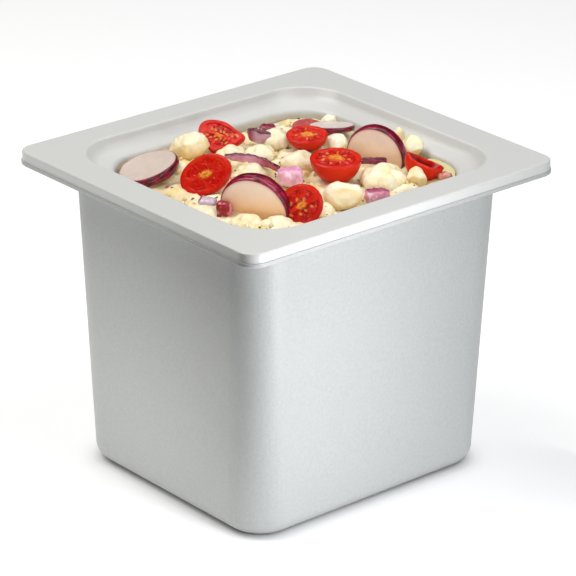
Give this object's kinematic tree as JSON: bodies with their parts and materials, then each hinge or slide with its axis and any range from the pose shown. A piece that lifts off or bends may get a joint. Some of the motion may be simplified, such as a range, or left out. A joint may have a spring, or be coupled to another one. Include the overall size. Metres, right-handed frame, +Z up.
{
  "type": "deli food pan",
  "caption": "Double-walled, gel-filled cold food pan with a wide flange and a lid recess, filled with a dressed potato, cauliflower, tomato and radish salad.",
  "frame": {"origin": "centre of the base, on the surface that the pan stands on", "axes": "+Z up out of the well; +X along the longer side of the flange; +Y along its shorter side"},
  "size_m": [0.1768, 0.1628, 0.1559],
  "materials": {
    "shell_plastic": "fine moulded texture, satin",
    "liner_plastic": "smooth moulded, soft gloss",
    "weld_plastic": "fused weld seam",
    "gel": "water-based gel, sealed inside",
    "plug_plastic": "moulded",
    "seal_rubber": "smooth washer",
    "dressing": "wet creamy dressing with herbs",
    "tomato": "wet, glossy skin and flesh",
    "radish": "pale flesh with dark magenta skin",
    "onion": "red onion, translucent",
    "potato": "boiled potato, dressed",
    "cauliflower": "cauliflower buds, dressed"
  },
  "bodies": {
    "pan": {"outer_shell": "shell_plastic", "inner_liner": "liner_plastic", "weld_bead": "weld_plastic", "refrigerant_gel": "gel", "fill_plug": "plug_plastic", "plug_seal": "seal_rubber"},
    "salad": {"salad_base": "dressing", "tomato_half_1": "tomato", "tomato_half_2": "tomato", "tomato_half_3": "tomato", "tomato_half_4": "tomato", "tomato_half_5": "tomato", "tomato_half_6": "tomato", "tomato_half_7": "tomato", "radish_slice_1": "radish", "radish_slice_2": "radish", "radish_slice_3": "radish", "radish_slice_4": "radish", "onion_strip_1": "onion", "onion_strip_2": "onion", "onion_strip_3": "onion", "onion_die_1": "onion", "onion_die_2": "onion", "onion_die_3": "onion", "onion_die_4": "onion", "onion_die_5": "onion", "onion_die_6": "onion", "potato_chunk_1": "potato", "potato_chunk_2": "potato", "potato_chunk_3": "potato", "potato_chunk_4": "potato", "potato_chunk_5": "potato", "potato_chunk_6": "potato", "potato_chunk_7": "potato", "potato_chunk_8": "potato", "cauliflower_floret_1": "cauliflower", "cauliflower_floret_2": "cauliflower", "cauliflower_floret_3": "cauliflower", "cauliflower_floret_4": "cauliflower", "cauliflower_floret_5": "cauliflower", "cauliflower_floret_6": "cauliflower", "cauliflower_floret_7": "cauliflower"}
  },
  "joints": [
    {"name": "salad_lift_out", "type": "slide", "parent": "pan", "child": "salad", "axis": [0, 0, 1], "range_m": [0, 0.13]}
  ]
}
